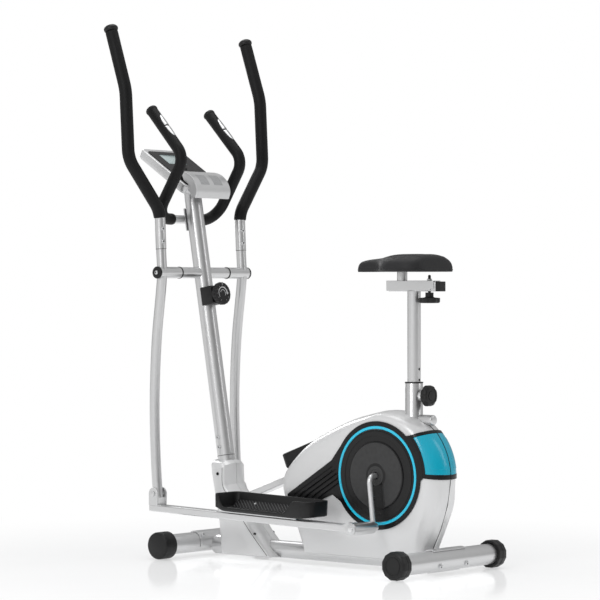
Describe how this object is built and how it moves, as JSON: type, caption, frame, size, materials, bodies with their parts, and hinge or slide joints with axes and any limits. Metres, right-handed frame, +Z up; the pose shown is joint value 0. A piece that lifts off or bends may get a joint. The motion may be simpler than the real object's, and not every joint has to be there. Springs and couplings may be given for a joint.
{
  "type": "elliptical trainer",
  "caption": "Elliptical trainer with swinging arm bars, tray pedals on crank-driven rails, an adjustable bike seat, fixed pulse grips and a sloping console on a leaning post.",
  "frame": {"origin": "on the floor, under the middle of the machine's box", "axes": "-X towards the console end, which a user faces; -Y the user's left; +Z up"},
  "size_m": [1.1318, 0.6351, 1.5719],
  "materials": {
    "silver_paint": "semi-gloss silver paint on steel tube",
    "chrome": "polished",
    "iron": "plain, dark",
    "silver_plastic": "silver paint on plastic",
    "white_plastic": "pearl white, glossy",
    "gloss_black": "glossy black",
    "black_plastic": "fine matte black",
    "tread_plastic": "matte black with a tread",
    "foam": "closed-cell foam, matte black",
    "belt_rubber": "ribbed rubber",
    "cyan_plastic": "bright cyan, glossy",
    "screen": "pale liquid-crystal window"
  },
  "bodies": {
    "frame": {"base_frame": "silver_paint", "front_foot": "silver_paint", "front_stabilizer": "silver_paint", "rear_stabilizer": "silver_paint", "front_cap_left": "black_plastic", "front_cap_right": "black_plastic", "rear_cap_left": "black_plastic", "rear_cap_right": "black_plastic", "front_post": "silver_paint", "pivot_axle": "silver_paint", "pulse_bar": "silver_paint", "pulse_grip_left": "foam", "pulse_grip_right": "foam", "console_case": "silver_plastic", "console_panel": "gloss_black", "console_display": "screen", "console_lip": "silver_plastic", "tension_box": "black_plastic", "housing_left": "white_plastic", "housing_right": "white_plastic", "side_trim_left": "gloss_black", "side_trim_right": "gloss_black", "accent_ring_left": "cyan_plastic", "accent_ring_right": "cyan_plastic", "rear_accent_left": "cyan_plastic", "rear_accent_right": "cyan_plastic", "post_cover_left": "white_plastic", "post_cover_right": "white_plastic", "crank_bearing_left": "silver_paint", "crank_bearing_right": "silver_paint", "flywheel_axle": "silver_paint", "drive_belt": "belt_rubber", "sleeve_collar": "black_plastic"},
    "crank": {"drive_pulley": "black_plastic", "crank_axle": "silver_paint", "crank_arm_left": "chrome", "crank_arm_right": "chrome", "crank_disc_left": "black_plastic", "crank_disc_right": "black_plastic"},
    "flywheel": {"flywheel": "iron"},
    "magnet": {"magnet_brake": "iron"},
    "arm_left": {"lower_arm_left": "silver_paint", "handle_left": "silver_paint", "handle_grip_left": "foam"},
    "arm_right": {"lower_arm_right": "silver_paint", "handle_right": "silver_paint", "handle_grip_right": "foam"},
    "rail_left": {"pedal_rail_left": "silver_paint", "pedal_left": "tread_plastic", "crank_pin_left": "chrome"},
    "rail_right": {"pedal_rail_right": "silver_paint", "pedal_right": "tread_plastic", "crank_pin_right": "chrome"},
    "dial": {"tension_dial": "black_plastic"},
    "button": {"console_button": "silver_plastic"},
    "seat_column": {"seat_post": "silver_paint"},
    "seat": {"seat_carriage": "silver_paint", "saddle": "foam"},
    "clamp_knob": {"seat_clamp_knob": "black_plastic"},
    "height_lock": {"height_knob": "black_plastic"}
  },
  "joints": [
    {"name": "crank_spin", "type": "hinge", "parent": "frame", "child": "crank", "pos_m": [0.3349, 0, 0.268], "axis": [0, 1, 0], "continuous": true},
    {"name": "flywheel_spin", "type": "hinge", "parent": "frame", "child": "flywheel", "pos_m": [0.1099, 0, 0.235], "axis": [0, 1, 0], "continuous": true},
    {"name": "arm_left_swing", "type": "hinge", "parent": "frame", "child": "arm_left", "pos_m": [-0.3811, -0.178, 0.839], "axis": [0, 1, 0], "range_deg": [-12.5, 12.5]},
    {"name": "arm_right_swing", "type": "hinge", "parent": "frame", "child": "arm_right", "pos_m": [-0.3811, 0.178, 0.839], "axis": [0, 1, 0], "range_deg": [-12.5, 12.5]},
    {"name": "rail_left_pivot", "type": "hinge", "parent": "arm_left", "child": "rail_left", "pos_m": [-0.3987, -0.178, 0.188], "axis": [0, 1, 0], "range_deg": [-12.5, 12.5]},
    {"name": "rail_right_pivot", "type": "hinge", "parent": "arm_right", "child": "rail_right", "pos_m": [-0.3987, 0.178, 0.188], "axis": [0, 1, 0], "range_deg": [-12.5, 12.5]},
    {"name": "tension_dial_turn", "type": "hinge", "parent": "frame", "child": "dial", "pos_m": [-0.3205, 0, 0.77488], "axis": [0.9854, 0, 0.17], "range_deg": [0, 300]},
    {"name": "magnet_swing", "type": "hinge", "parent": "frame", "child": "magnet", "pos_m": [0.0199, 0, 0.12], "axis": [0, 1, 0], "range_deg": [0, 1.2]},
    {"name": "seat_height", "type": "slide", "parent": "frame", "child": "seat_column", "axis": [0, 0, 1], "range_m": [-0.061, 0.0915]},
    {"name": "height_knob_pull", "type": "slide", "parent": "frame", "child": "height_lock", "axis": [1, 0, 0], "range_m": [0, 0.008], "stiffness_N_per_m": 900},
    {"name": "seat_fore_aft", "type": "slide", "parent": "seat_column", "child": "seat", "axis": [1, 0, 0], "range_m": [-0.019, 0.031]},
    {"name": "seat_clamp_turn", "type": "hinge", "parent": "seat_column", "child": "clamp_knob", "pos_m": [0.4699, 0, 0.7835], "axis": [0, 0, 1], "range_deg": [0, 300]},
    {"name": "console_button_press", "type": "slide", "parent": "frame", "child": "button", "axis": [-0.5402, 0, -0.8415], "range_m": [0, 0.0015], "stiffness_N_per_m": 500}
  ],
  "couplings": [
    {"joint": "flywheel_spin", "follows": "crank_spin", "ratio": 5.5385},
    {"joint": "arm_right_swing", "follows": "arm_left_swing", "ratio": -1},
    {"joint": "rail_left_pivot", "follows": "arm_left_swing", "ratio": -1},
    {"joint": "rail_right_pivot", "follows": "arm_left_swing", "ratio": 1},
    {"joint": "magnet_swing", "follows": "tension_dial_turn", "ratio": 0.004}
  ]
}
